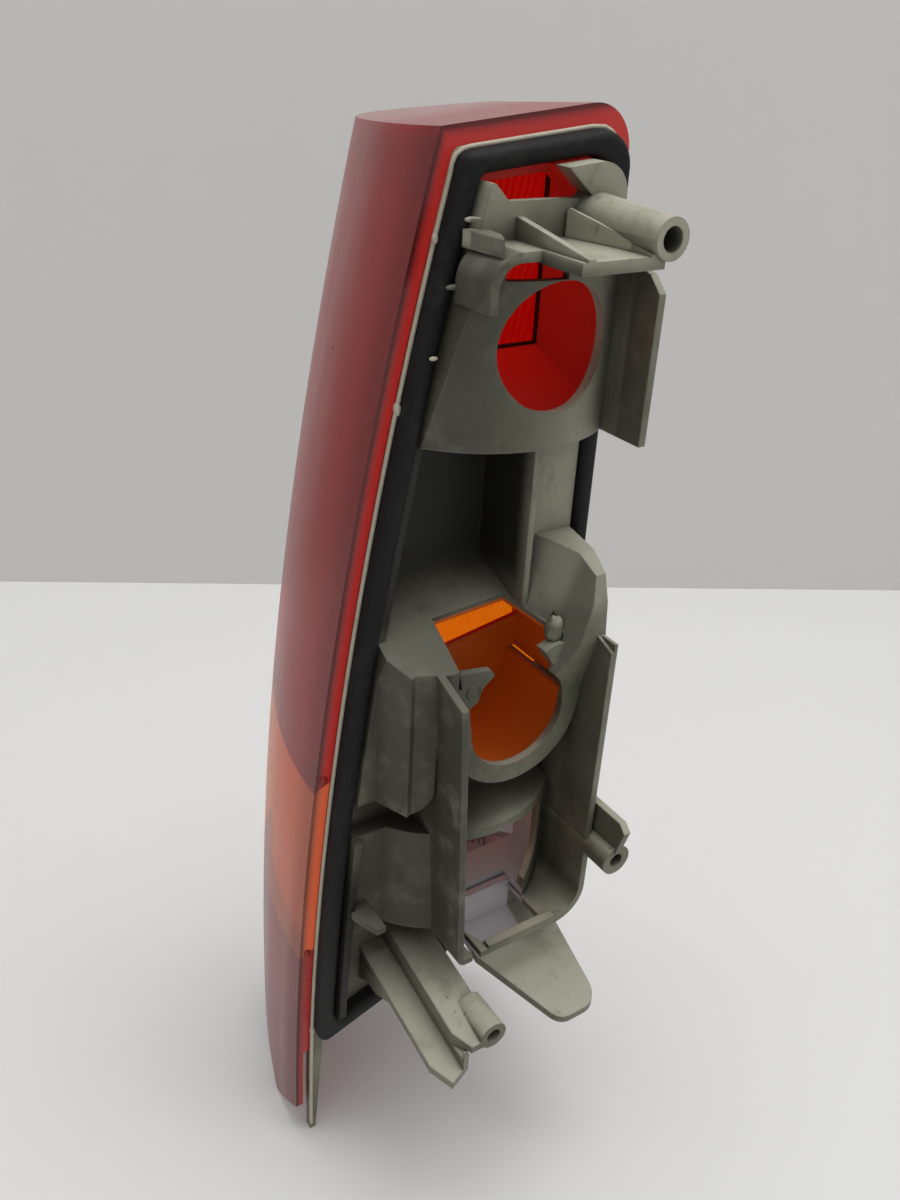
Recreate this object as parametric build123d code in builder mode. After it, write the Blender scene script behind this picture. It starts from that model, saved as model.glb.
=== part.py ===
"""Tail light cluster: moulded back housing, gasket and a welded lens of three colours.

Sizes are in millimetres. x is measured outboard from the top corner of the flange, y back from
the rear edge of the lens and z up from the foot. The planes below put the origin at the mouth of
the top screw post, where the lamp is fixed: +Y points back into the car and +Z points up.
"""
import os
from math import hypot

from build123d import *

# Top screw post, whose mouth is the origin
post_x = -35.0
post_y = 38.0
post_drop = 16.0
post_base = 6.0
post_base_radius = 6.6
post_tip_radius = 5.0
post_bore = 3.0
post_bore_depth = 22.0

# Rim, seen from behind: an outboard edge that sweeps in towards the top, a straight inboard edge
rim_height = 325.0
rim_sweep = 43.0
far_edge = -50.0
top_edge = 321.0
post_z = top_edge - post_drop
top_rise = 0.11
foot_edge = 60.0
foot_rise = 0.35
rim_corner = 9.0
near_corner = 3.0
weld_gap = 0.1

# Lens
lens_wall = 2.6
lens_lip = 4.8
far_lip = 2.6
lip_depth = 2.6
roof_fall = 0.08
lens_draft = 20.0
side_depth = 55.0
top_sag = 9.5
foot_sag = 14.0
nose_drop = 30.0
far_depth = 27.0
far_reach = 26.0
far_lead = 16.0
underside_fall = 0.6
underside_reach = 130.0
leg_edge = 33.0
leg_top = 48.0
leg_rear = 14.0
leg_tip = -20.0
leg_front = -46.0
leg_front_foot = 18.0
joint_rise = 0.5
red_joint = 150.0
amber_joint = 86.0
window_edge = 12.0
window_front = -5.0
window_foot = 8.0

# Flange and seal
flange_front = -2.2
flange_back = 0.8
tab_width = 5.0
tab_tip = 2.2
tab_top = 52.0
seal_inset = 0.9
seal_width = 5.3
seal_height = 5.6
seal_round = 2.2

# Chambers
wall = 2.4
shell_inset = 6.6
shell_far = -43.0
cup_front = -5.0
back_face = 20.5
shoulder_side = 6.5
shoulder_near = 22.5
ridge_x = 18.0
ridge_y = 17.6
groove_x = 16.4
groove_y = 17.0
shoulder_back = 7.0
bay_corner = 8.0
bulb_axis = -17.3
bulb_radius = 16.4
top_bulb_axis = -19.5
top_bulb = 277.0
mid_bulb = 168.0
low_bulb = 112.0
collar_radius = 22.5
amber_roof = 198.3
amber_roof_rise = 0.075
amber_roof_fall = 0.37
amber_floor = 143.0
low_roof = 131.0
low_opening = 127.6
low_floor = 92.0
low_near = 18.2
low_side = 6.0
low_crown_x = -12.6
low_crown_y = 21.8
low_far = 6.6
pocket_floor = -14.0
pocket_front = pocket_floor - wall
panel_back = 4.0

# Raised lobe at the inboard end of the amber chamber: its rounded back in y and z, and a slant face
lobe_foot = 172.0
lobe_near = -24.0
lobe_back = ((20.5, 172.0), (25.5, 190.0), (24.5, 202.0), (22.0, 210.0), (16.0, 215.0), (4.0, 217.5))
lobe_face = (-22.3, 2.0, 200.5)
lobe_face_way = (0.787, 0.523, 0.326)

# Top chamber: a shallow barrel with a narrower gallery above its shelf
top_floor = 251.0
top_floor_fall = 0.37
barrel_side = 6.0
barrel_crown_x = -11.0
barrel_crown_y = 19.5
barrel_far = 13.0
gallery_back = 9.5
gallery_top = top_edge - 11.0
gallery_arch = 4.0
gallery_bend = -9.0
gallery_opening = top_edge - 4.5
slot_near = -4.0
slot_far = -20.0
slot_height = 4.5

# Shelf with its gussets and hook, and the block behind the post
shelf_drop = 19.8
shelf_top = top_edge - shelf_drop
shelf_thickness = 3.0
shelf_low = shelf_top - shelf_thickness
shelf_end = 37.0
shelf_near = -10.0
shelf_end_far = -34.5
gusset_places = (-12.5, -31.0)
gusset_thickness = 2.0
gusset_rise = 5.5
gusset_tip = 0.6
hook_x = 4.0
hook_foot = shelf_top - 13.6
hook_round = 7.6
hook_front = 8.0
hook_back = 22.5
hook_wall = 2.4
step_plate = ((2.0, 7.0), (-4.2, 7.0), (-3.0, 15.7), (0.6, 22.0))
step_plate_top = shelf_top + 2.8
block_near = -15.0
block_bend = -33.0
block_back = 11.5

# Fins beside the bulb holes
fin_thickness = 2.2
fin_back = 32.0
far_fin_x = -41.0
near_fin_x = 10.0
near_fin_lean = 4.5
fin_foot = 90.0
fin_top = 192.0
fin_corner = 10.0
fin_root = 5.0
lip_near = -2.0
lip_rim = 3.0
lip_rim_height = 2.2
curl = 4.5
top_fin_back = 30.0
top_fin_front = 12.0
top_fin_chamfer = 4.0

# Keyways that open the two lower bulb holes
notch_near = 4.5
notch_far = -30.5
notch_front = 2.0
notch_front_near = 2.3
notch_front_far = -22.3
low_keyway = ((-1.2, 8.0), (-1.2, 19.0), (-5.0, 29.0), (-27.2, 29.0), (-27.2, 8.0))
hole_tab = ((4.4, 189.4), (-6.3, 187.7), (-7.6, 185.6), (-3.7, 182.5), (-2.4, 178.2), (2.0, 176.0))
hole_clip = ((-24.1, 189.0), (-27.6, 190.3), (-36.0, 190.3), (-36.0, 181.2), (-29.8, 181.2), (-26.8, 184.8))
hole_tab_thickness = 2.4

# Divider rib in the pocket and upstand beside the seal
rib_x = -26.0
rib_back = 9.0
rib_thickness = 2.0
upstand_height = 7.2
upstand_top = 130.0

# Lower arm, its web and blade
arm_top = 75.0
arm_fall = 0.22
arm_thickness = 2.6
arm_near = 15.5
arm_far = 2.6
arm_end = 50.0
arm_chamfer = 6.5
ledge_drop = 7.3
ledge_near = 24.0
ledge_tip = (20.4, 52.6)
ledge_shoulder = 45.0
ledge_inner = 49.5
arm_boss_x = 4.5
arm_boss_z = 76.0
arm_boss_radius = 4.6
arm_boss_front = 36.0
arm_boss_end = 50.0
arm_bore = 2.4
arm_bore_depth = 14.0
web_height = 10.0
web_arch = 6.0
web_reach = 24.0
blade_top = 104.0
blade_near = 31.0
blade_far = 24.5
blade_end = 18.5
blade_thickness = 2.2

# Tongue below the lowest chamber
tongue_root = 9.0
tongue_root_top = 81.0
tongue_thickness = 2.4
tongue_fall = 0.36
tongue_end = 50.0
tongue_far = -42.0
tongue_near = -8.0
tongue_shoulder = 22.0
tongue_tip_near = -22.5
tongue_tip_far = -38.5
tongue_round = 6.5

# Inboard arm
far_arm_x = -44.5
far_arm_z = 117.5
far_arm_front = 9.0
far_arm_end = 42.0
far_arm_radius = 5.2
far_arm_bore = 2.4
far_arm_bore_depth = 16.0
far_arm_web = 15.5
far_arm_web_reach = 45.0
far_arm_web_thickness = 2.4


def plan(z):
    # level plane, sketched in x and y
    return Plane(origin=(-post_x, -post_y, z - post_z))


def upright(y):
    # plane across the lamp, sketched in x and z; positive extrusions run forward to the lens
    return Plane(origin=(-post_x, y - post_y, -post_z), x_dir=(1, 0, 0), z_dir=(0, -1, 0))


def fore_aft(x):
    # plane along the lamp, sketched in y and z; positive extrusions run outboard
    return Plane(origin=(x - post_x, -post_y, -post_z), x_dir=(0, 1, 0), z_dir=(1, 0, 0))


def slanted(height, rise, fall=0.0):
    # plane that rises inboard and falls to the back, through a height at x = 0 and y = 0
    return Plane(origin=(-post_x, -post_y, height - post_z), z_dir=(rise, fall, 1))


def outboard(z, inset=0.0):
    # outboard edge of the rim at a height
    return rim_sweep * (1 - (z / rim_height) ** 2) - inset


def outboard_edge(low, high, inset=0.0):
    # the same edge as a curve between two heights
    control = rim_sweep * (1 - low * high / rim_height**2) - inset
    return Bezier((outboard(low, inset), low), (control, (low + high) / 2), (outboard(high, inset), high))


def foot_line(x, inset=0.0):
    # lower edge of the rim, which rises inboard
    return foot_edge - foot_rise * x + inset * hypot(1, foot_rise)


def top_line(x, inset=0.0):
    # upper edge of the rim, which rises inboard
    return top_edge - top_rise * x - inset


def joint_height(height):
    # height at x = 0 of a colour joint that meets the outboard rim at the given height
    return height + joint_rise * outboard(height)


def polygon(*corners):
    with BuildSketch() as outline:
        with BuildLine():
            Polyline(*corners, close=True)
        make_face()
    return outline.sketch


def rectangle(low, high):
    return polygon(low, (high[0], low[1]), high, (low[0], high[1]))


def near_foot(inset):
    # height where the lower edge meets the outboard edge
    first = foot_line(outboard(foot_edge, inset), inset)
    return foot_line(outboard(first, inset), inset)


def rim_outline(inset, corner):
    # closed rim outline in x and z, set in by a margin
    far = far_edge + inset
    near_top = top_line(outboard(top_edge, inset), inset)
    with BuildSketch() as outline:
        with BuildLine():
            edge = outboard_edge(near_foot(inset), near_top, inset)
            Polyline(edge @ 1, (far, top_line(far, inset)), (far, foot_line(far, inset)), edge @ 0)
        make_face()
        fillet(outline.vertices().sort_by(Axis.X)[:2], corner)
        fillet(outline.vertices().sort_by(Axis.X)[-2:], near_corner)
    return outline.sketch


def tab_outline(inset):
    # tab that carries the outboard edge down to the foot, set in by a margin
    with BuildSketch() as outline:
        with BuildLine():
            edge = outboard_edge(0, tab_top, inset)
            Polyline(
                edge @ 1,
                (outboard(tab_top, tab_width - inset), tab_top),
                (outboard(0, tab_tip - inset), 0),
                edge @ 0,
            )
        make_face()
    return outline.sketch


def foot_band(low, high, near):
    # band along the lower edge of the rim, between two margins
    far = far_edge - far_lip
    return polygon(
        (far, foot_line(far, low)),
        (near, foot_line(near, low)),
        (near, foot_line(near, high)),
        (far, foot_line(far, high)),
    )


def lens_outline(z, inset):
    # lens section in x and y at one height: curved side, rounded nose, straight inboard wall
    near = outboard(z) + lens_lip - inset
    far = far_edge - far_lip + inset
    sag = foot_sag + (top_sag - foot_sag) * z / rim_height
    with BuildSketch() as outline:
        with BuildLine():
            side = TangentArc((near, 0), (near - sag, -side_depth), tangent=(0, -1))
            lead = side @ 1 + (side % 1) * nose_drop + Vector(0, inset)
            turn = (far + far_lead, -far_depth - far_reach + inset)
            Bezier(side @ 1, lead, turn, (far, -far_depth))
            Polyline((far, -far_depth), (far, 0), (near, 0))
        make_face()
    return outline.sketch


def lens_body(inset):
    # lens form set in by a margin: sections joined from the foot up, then trimmed to its rounded roof
    far = far_edge - far_lip + inset
    near = rim_sweep + lens_lip - inset
    rise = inset - lens_lip
    with BuildPart() as body:
        for step in range(lens_steps + 1):
            height = (rim_height + lens_draft) * step / lens_steps
            with BuildSketch(plan(height)):
                add(lens_outline(height, inset))
        loft()
        with BuildSketch(upright(0)) as roof:
            add(polygon((far, 0), (near, 0), (near, top_line(near, rise)), (far, top_line(far, rise))))
            fillet(roof.vertices().group_by(Axis.X)[0].sort_by(Axis.Y)[-1], rim_corner + far_lip - inset)
        extrude(amount=underside_reach, dir=(0, -1, -roof_fall), mode=Mode.INTERSECT)
    return body.part


def within_seal(inset):
    # the opening inside the seal, as a solid from the lens to behind the lamp
    with BuildPart() as opening:
        with BuildSketch(upright(arm_boss_end)):
            add(rim_outline(shell_inset + inset, rim_corner - seal_inset))
        extrude(amount=arm_boss_end + underside_reach)
    return opening.part


def barrel_plan(near, crown, far, front):
    # a chamber with a bowed back, in plan
    with BuildSketch() as outline:
        with BuildLine():
            ThreePointArc(near, crown, far)
            Polyline(far, (far[0], front), (rim_sweep, front), (rim_sweep, near[1]), near)
        make_face()
    return outline.sketch


def top_chamber(inset, ceiling, arch):
    near = (outboard(top_floor, shell_inset + inset), barrel_side - inset)
    far = (shell_far + inset, barrel_far - inset)
    front = pocket_front - inset
    with BuildPart() as chamber:
        with BuildSketch(plan(top_floor)):
            add(barrel_plan(near, (barrel_crown_x, barrel_crown_y - inset), far, front))
        extrude(amount=shelf_low - top_floor)
        with BuildSketch(upright(gallery_back - inset)):
            add(
                polygon(
                    (far[0], shelf_low - inset),
                    (rim_sweep, shelf_low - inset),
                    (rim_sweep, ceiling + arch),
                    (gallery_bend + arch, ceiling + arch),
                    (gallery_bend, ceiling),
                    (far[0], ceiling),
                )
                if arch
                else rectangle((far[0], shelf_low - inset), (rim_sweep, ceiling))
            )
        extrude(amount=gallery_back - inset - front)
        add(within_seal(inset), mode=Mode.INTERSECT)
    return chamber.part


def bay_outline(inset):
    # outboard bay of the amber chamber in x and z, with a rounded lower corner
    with BuildSketch() as outline:
        add(rectangle((near_fin_x + inset, amber_floor + inset), (rim_sweep, mid_bulb)))
        corner = outline.vertices().group_by(Axis.X)[0].sort_by(Axis.Y)[0]
        fillet(corner, bay_corner - inset)
    return outline.sketch


def amber_plan(inset):
    # the amber chamber in plan: its outboard bay turns in two steps to the flat back
    return polygon(
        (shell_far + inset, pocket_front - inset),
        (rim_sweep, pocket_front - inset),
        (rim_sweep, shoulder_side - inset),
        (shoulder_near - inset, shoulder_side - inset),
        (ridge_x - inset, ridge_y - inset),
        (groove_x - inset, groove_y - inset),
        (shoulder_back - inset, back_face - inset),
        (shell_far + inset, back_face - inset),
    )


def far_lobe(inset):
    # raised end of the amber chamber, rounded towards the back and slanted towards the bulb
    turn = Vector(lobe_face_way).normalized()
    face = Vector(lobe_face) - Vector(post_x, post_y, post_z) - turn * inset
    with BuildPart() as lobe:
        with BuildSketch(fore_aft(shell_far + inset)):
            add(
                polygon(
                    (pocket_front - inset, lobe_foot),
                    *((y - inset, z - inset) for y, z in lobe_back),
                    (pocket_front - inset, lobe_back[-1][1] - inset),
                )
            )
        extrude(amount=lobe_near - shell_far - 2 * inset)
        split(bisect_by=Plane(origin=face, z_dir=turn), keep=Keep.BOTTOM)
        add(within_seal(inset), mode=Mode.INTERSECT)
    return lobe.part


def amber_chamber(inset):
    # trough round the bulb, with a straight outboard bay and a raised inboard end
    with BuildPart() as chamber:
        with BuildSketch(upright(arm_boss_end)):
            add(rectangle((shell_far + inset, mid_bulb), (rim_sweep, top_floor)))
            add(bay_outline(inset))
            with Locations((bulb_axis, mid_bulb)):
                Circle(collar_radius - inset)
        extrude(amount=arm_boss_end + underside_reach)
        split(bisect_by=slanted(amber_roof - inset, amber_roof_rise, amber_roof_fall), keep=Keep.BOTTOM)
        with BuildSketch(plan(amber_floor)):
            add(amber_plan(inset))
        extrude(amount=top_floor - amber_floor, mode=Mode.INTERSECT)
        add(within_seal(inset), mode=Mode.INTERSECT)
        add(far_lobe(inset))
    return chamber.part


def low_chamber(inset):
    # reversing chamber: a flat-roofed barrel below the amber trough
    near = (low_near - inset, low_side - inset)
    far = (shell_far + inset, low_far - inset)
    with BuildPart() as chamber:
        with BuildSketch(plan(low_floor + inset)):
            add(barrel_plan(near, (low_crown_x, low_crown_y - inset), far, cup_front - inset))
        extrude(amount=low_roof - low_floor - 2 * inset)
        add(within_seal(inset), mode=Mode.INTERSECT)
    return chamber.part


def arm_section(height):
    # stepped section of the lower arm at its end, in x and z
    return polygon(
        (arm_far, height),
        (arm_far, height - arm_thickness),
        (arm_near - arm_thickness, height - arm_thickness),
        (arm_near - arm_thickness, height - ledge_drop - arm_thickness),
        (ledge_near, height - ledge_drop - arm_thickness),
        (ledge_near, height - ledge_drop),
        (arm_near, height - ledge_drop),
        (arm_near, height),
    )


lens_steps = 5
underside_way = (0, -1, -underside_fall)

# Lens as one welded shell, then cut into its colours
lens_outside = lens_body(0)
lens_inside = lens_body(lens_wall)

with BuildPart() as lens_hollow:
    add(lens_inside)
    split(bisect_by=upright(-lip_depth), keep=Keep.TOP)

with BuildPart() as lens_underside:
    with BuildSketch(upright(0)):
        add(foot_band(-lens_lip, lens_wall - lens_lip, rim_sweep + lens_lip))
    extrude(amount=underside_reach, dir=underside_way)
    add(lens_hollow.part, mode=Mode.INTERSECT)

with BuildPart() as lens_below:
    with BuildSketch(upright(0)):
        add(foot_band(-underside_reach, -lens_lip, rim_sweep + lens_lip))
    extrude(amount=underside_reach, dir=underside_way)

with BuildPart() as lens_leg:
    with BuildSketch(fore_aft(leg_edge)):
        add(
            polygon(
                (0, leg_top),
                (0, leg_rear),
                (leg_tip, 0),
                (leg_front, leg_front_foot),
                (leg_front, leg_top),
            )
        )
    extrude(amount=rim_sweep)
    add(lens_outside, mode=Mode.INTERSECT)
    add(lens_inside, mode=Mode.SUBTRACT)

with BuildPart() as lens_shell:
    add(lens_outside)
    add(lens_hollow.part, mode=Mode.SUBTRACT)
    add(lens_underside.part)
    add(lens_below.part, mode=Mode.SUBTRACT)
    add(lens_leg.part)
    with BuildSketch(upright(0)):
        add(rim_outline(0, rim_corner))
        add(tab_outline(0))
    extrude(amount=lip_depth, mode=Mode.SUBTRACT)

red_plane = slanted(joint_height(red_joint), joint_rise)
amber_plane = slanted(joint_height(amber_joint), joint_rise)

with BuildPart() as lens_upper_red:
    add(lens_shell.part)
    split(bisect_by=red_plane, keep=Keep.TOP)

with BuildPart() as lens_amber:
    add(lens_shell.part)
    split(bisect_by=red_plane, keep=Keep.BOTTOM)
    split(bisect_by=amber_plane, keep=Keep.TOP)

with BuildPart() as lens_lower:
    add(lens_shell.part)
    split(bisect_by=amber_plane, keep=Keep.BOTTOM)

with BuildPart() as reversing_window:
    with BuildSketch(upright(window_front)):
        add(foot_band(window_foot, underside_reach, window_edge))
    extrude(amount=underside_reach, dir=underside_way)

with BuildPart() as lens_clear:
    add(lens_lower.part)
    add(reversing_window.part, mode=Mode.INTERSECT)

with BuildPart() as lens_lower_red:
    add(lens_lower.part)
    add(reversing_window.part, mode=Mode.SUBTRACT)

# Gasket: a closed loop on the flange, with a rounded crown
with BuildPart() as seal:
    with BuildSketch(upright(flange_back)):
        add(rim_outline(seal_inset, rim_corner))
        add(rim_outline(seal_inset + seal_width, rim_corner - seal_inset), mode=Mode.SUBTRACT)
    extrude(amount=-seal_height)
    fillet(seal.faces().sort_by(Axis.Y)[-1].edges(), seal_round)

# Inside of the top chamber, whose floor rises towards the lens
with BuildPart() as top_hollow:
    add(top_chamber(wall, gallery_opening, 0))
    sill = top_floor + barrel_crown_y * top_floor_fall + wall
    split(bisect_by=slanted(sill, 0, top_floor_fall), keep=Keep.TOP)

# Pocket between the top and amber chambers, open to the back
with BuildPart() as pocket:
    with BuildSketch(upright(arm_boss_end)):
        add(rectangle((far_edge, mid_bulb), (rim_sweep, top_floor)))
    extrude(amount=arm_boss_end - pocket_floor)
    with BuildSketch(upright(panel_back)):
        add(rectangle((far_edge, mid_bulb), (rib_x, top_floor)))
    extrude(amount=panel_back - pocket_floor, mode=Mode.SUBTRACT)
    split(bisect_by=slanted(amber_roof, amber_roof_rise, amber_roof_fall), keep=Keep.TOP)
    add(within_seal(wall), mode=Mode.INTERSECT)
    add(far_lobe(0), mode=Mode.SUBTRACT)

# Hollow behind the panel, open to the lens
with BuildPart() as panel_hollow:
    with BuildSketch(upright(panel_back - wall)):
        add(rectangle((shell_far + wall, lobe_back[-1][1] + wall), (rib_x - wall, top_floor - wall)))
    extrude(amount=panel_back - pocket_front)

# Block behind the screw post
with BuildPart() as block:
    with BuildSketch(upright(block_back)):
        add(
            polygon(
                (block_near, rim_height),
                (far_edge, rim_height),
                (far_edge, shelf_low),
                (block_bend, shelf_low),
                (block_bend, gallery_top),
            )
        )
    extrude(amount=block_back - flange_front)
    add(within_seal(0), mode=Mode.INTERSECT)

# Tongue, bent down at its end and rounded in plan
with BuildPart() as tongue:
    end_drop = (tongue_end - tongue_root) * tongue_fall
    with BuildSketch(fore_aft(tongue_far)):
        add(
            polygon(
                (tongue_root, low_floor + wall / 2),
                (tongue_root, tongue_root_top - tongue_thickness),
                (tongue_end, tongue_root_top - tongue_thickness - end_drop),
                (tongue_end, tongue_root_top - end_drop),
                (tongue_root + tongue_thickness, tongue_root_top),
                (tongue_root + tongue_thickness, low_floor + wall / 2),
            )
        )
    extrude(amount=tongue_near - tongue_far)
    with BuildSketch(plan(0)) as tongue_plan:
        add(
            polygon(
                (tongue_far, 0),
                (tongue_near, 0),
                (tongue_near, tongue_shoulder),
                (tongue_tip_near, tongue_end),
                (tongue_tip_far, tongue_end),
            )
        )
        fillet(tongue_plan.vertices().group_by(Axis.Y)[-1], tongue_round)
    extrude(amount=low_floor + wall, mode=Mode.INTERSECT)

# Housing: one moulding
with BuildPart() as housing:
    # flange, with the tab that reaches down to the foot
    with BuildSketch(upright(flange_back)):
        add(rim_outline(weld_gap, rim_corner))
    extrude(amount=flange_back - flange_front)
    with BuildSketch(upright(flange_back)):
        add(tab_outline(weld_gap))
    extrude(amount=flange_back - flange_front)

    # fins beside the two lower bulb holes, each turned in below towards the other
    with BuildSketch(upright(fin_back)):
        with BuildLine() as far_bend:
            corner = (far_fin_x, fin_foot)
            FilletPolyline((far_fin_x, fin_top), corner, (lip_near, fin_foot), radius=fin_corner)
        trace(far_bend.line, fin_thickness)
        with BuildLine() as near_bend:
            corner = (near_fin_x - near_fin_lean, fin_foot)
            FilletPolyline((near_fin_x, fin_top), corner, (corner[0] - curl, fin_foot), radius=curl / 2)
        trace(near_bend.line, fin_thickness)
    extrude(amount=fin_back - fin_root)
    with BuildSketch(upright(fin_back)):
        add(rectangle((far_fin_x + fin_corner, fin_foot), (lip_near - lip_rim, fin_foot + lip_rim_height)))
    extrude(amount=lip_rim)

    # chamber walls and pocket
    with BuildSketch(upright(panel_back)):
        add(rectangle((far_edge, mid_bulb), (rim_sweep, top_floor)))
        add(rim_outline(shell_inset, rim_corner - seal_inset), mode=Mode.INTERSECT)
    extrude(amount=panel_back - pocket_front)
    add(top_chamber(0, gallery_top, gallery_arch))
    add(amber_chamber(0))
    add(low_chamber(0))
    add(top_hollow.part, mode=Mode.SUBTRACT)
    add(amber_chamber(wall), mode=Mode.SUBTRACT)
    add(low_chamber(wall), mode=Mode.SUBTRACT)
    add(pocket.part, mode=Mode.SUBTRACT)
    add(panel_hollow.part, mode=Mode.SUBTRACT)

    # bulb holes: the top one is round, the others have straight sides up to their roofs
    with BuildSketch(upright(fin_back)):
        with Locations((top_bulb_axis, top_bulb), (bulb_axis, mid_bulb), (bulb_axis, low_bulb)):
            Circle(bulb_radius)
        add(rectangle((bulb_axis - bulb_radius, low_bulb), (bulb_axis + bulb_radius, low_opening)))
        add(rectangle((slot_far, shelf_low - slot_height), (slot_near, shelf_low)))
    extrude(amount=fin_back - barrel_side, mode=Mode.SUBTRACT)

    # notch that opens the amber hole through its roof
    with BuildSketch(upright(back_face)):
        add(
            polygon(
                (bulb_axis - bulb_radius, mid_bulb),
                (bulb_axis + bulb_radius, mid_bulb),
                (notch_near, amber_roof),
                (notch_far, amber_roof),
            )
        )
    extrude(amount=2 * wall, mode=Mode.SUBTRACT)
    with BuildSketch(plan(mid_bulb + bulb_radius)):
        add(
            polygon(
                (notch_far, back_face),
                (notch_front_far, notch_front),
                (notch_front_near, notch_front),
                (notch_near, back_face),
            )
        )
    extrude(amount=collar_radius, mode=Mode.SUBTRACT)

    # keyway that opens the lowest hole down through its floor and lip
    with BuildSketch(plan(fin_foot - fin_thickness)):
        add(polygon(*low_keyway))
    extrude(amount=low_bulb - fin_foot + fin_thickness, mode=Mode.SUBTRACT)

    # tab and broken clip that reach into the amber hole
    with BuildSketch(upright(back_face)):
        add(polygon(*hole_tab))
    extrude(amount=hole_tab_thickness)
    with BuildSketch(upright(back_face + hole_tab_thickness / 2)):
        add(polygon(*hole_clip))
    extrude(amount=2 * hole_tab_thickness)

    # top fin, below the shelf
    with BuildSketch(fore_aft(far_fin_x - fin_thickness)):
        with BuildLine():
            Polyline(
                (top_fin_front, top_floor),
                (top_fin_back, top_floor),
                (top_fin_back, shelf_low - 2 * top_fin_chamfer),
                (top_fin_back - top_fin_chamfer, shelf_low - top_fin_chamfer),
                (top_fin_front, shelf_low),
                close=True,
            )
        make_face()
    extrude(amount=fin_thickness)

    # shelf, gussets, hook and the block behind the post
    with BuildSketch(plan(shelf_low)):
        add(
            polygon(
                (shelf_near, gallery_back - wall),
                (shelf_near, shelf_end),
                (shelf_end_far, shelf_end),
                (shell_far, gallery_back - wall),
            )
        )
    extrude(amount=shelf_thickness)
    for place in gusset_places:
        with BuildSketch(fore_aft(place - gusset_thickness / 2)):
            add(
                polygon(
                    (gallery_back - wall / 2, shelf_low),
                    (shelf_end, shelf_low),
                    (shelf_end, shelf_top + gusset_tip),
                    (gallery_back - wall / 2, shelf_top + gusset_rise),
                )
            )
        extrude(amount=gusset_thickness)
    with BuildSketch(upright(hook_back)):
        with BuildLine() as hook:
            side = hook_x - hook_wall / 2
            level = shelf_top - hook_wall / 2
            FilletPolyline((side, hook_foot), (side, level), (shelf_near, level), radius=hook_round)
        trace(hook.line, hook_wall)
    extrude(amount=hook_back - hook_front)
    with BuildSketch(plan(shelf_top - hook_wall / 2)):
        add(polygon(*step_plate))
    extrude(amount=step_plate_top - shelf_top + hook_wall / 2)
    add(block.part)

    # screw post
    with BuildSketch(upright(post_base)):
        with Locations((post_x, post_z)):
            Circle(post_base_radius)
    with BuildSketch(upright(post_y)):
        with Locations((post_x, post_z)):
            Circle(post_tip_radius)
    loft()
    with BuildSketch(upright(post_y)):
        with Locations((post_x, post_z)):
            Circle(post_bore)
    extrude(amount=post_bore_depth, mode=Mode.SUBTRACT)

    # divider rib and upstand
    with BuildSketch(fore_aft(rib_x)):
        add(rectangle((pocket_floor, amber_roof), (rib_back, top_floor + wall)))
    extrude(amount=rib_thickness)
    with BuildSketch(upright(flange_back + upstand_height)):
        with BuildLine():
            foot = near_foot(shell_inset + wall)
            outer = outboard_edge(foot, upstand_top, shell_inset)
            inner = outboard_edge(foot, upstand_top, shell_inset + wall)
            Line(outer @ 0, inner @ 0)
            Line(outer @ 1, inner @ 1)
        make_face()
    extrude(amount=upstand_height)

    # lower arm: a stepped section that falls towards the back, with a screw boss at its end
    with BuildSketch(upright(ledge_tip[1])):
        add(arm_section(arm_top))
    extrude(amount=ledge_tip[1] * hypot(1, arm_fall), dir=(0, -1, arm_fall))
    with BuildSketch(plan(arm_top - ledge_drop - 2 * arm_thickness)):
        add(
            polygon(
                (arm_far, ledge_tip[1]),
                (arm_far, arm_end),
                (arm_near - arm_chamfer / 2, arm_end),
                (arm_near - arm_thickness, ledge_inner),
                ledge_tip,
            )
        )
        add(polygon((ledge_near, ledge_shoulder), ledge_tip, (ledge_near, ledge_tip[1])))
    extrude(amount=ledge_drop + 4 * arm_thickness, mode=Mode.SUBTRACT)
    with BuildSketch(plan(arm_top - arm_thickness)):
        add(
            polygon(
                (arm_near, arm_end - arm_chamfer),
                (arm_near, arm_end),
                (arm_near - arm_chamfer / 2, arm_end),
            )
        )
    extrude(amount=3 * arm_thickness, mode=Mode.SUBTRACT)
    with BuildSketch(upright(arm_boss_end)):
        with Locations((arm_boss_x, arm_boss_z)):
            Circle(arm_boss_radius)
    extrude(amount=arm_boss_end - arm_boss_front)
    with BuildSketch(upright(arm_boss_end)):
        with Locations((arm_boss_x, arm_boss_z)):
            Circle(arm_bore)
    extrude(amount=arm_bore_depth, mode=Mode.SUBTRACT)
    web_top = arm_top + (ledge_tip[1] - web_reach) * arm_fall - ledge_drop
    with BuildSketch(fore_aft(ledge_near - arm_thickness)):
        add(
            polygon(
                (0, web_top),
                (web_reach, web_top),
                (web_reach / 2, web_top - web_arch),
                (web_reach / 4, web_top - web_arch),
                (0, web_top - web_height),
            )
        )
    extrude(amount=arm_thickness)
    with BuildSketch(plan(blade_top - blade_thickness)):
        add(
            polygon(
                (blade_near, 0),
                (blade_near, blade_end / 2),
                ((blade_near + blade_far) / 2, blade_end),
                (blade_far, blade_end),
                (blade_far, 0),
            )
        )
    extrude(amount=blade_thickness)

    add(tongue.part)

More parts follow.
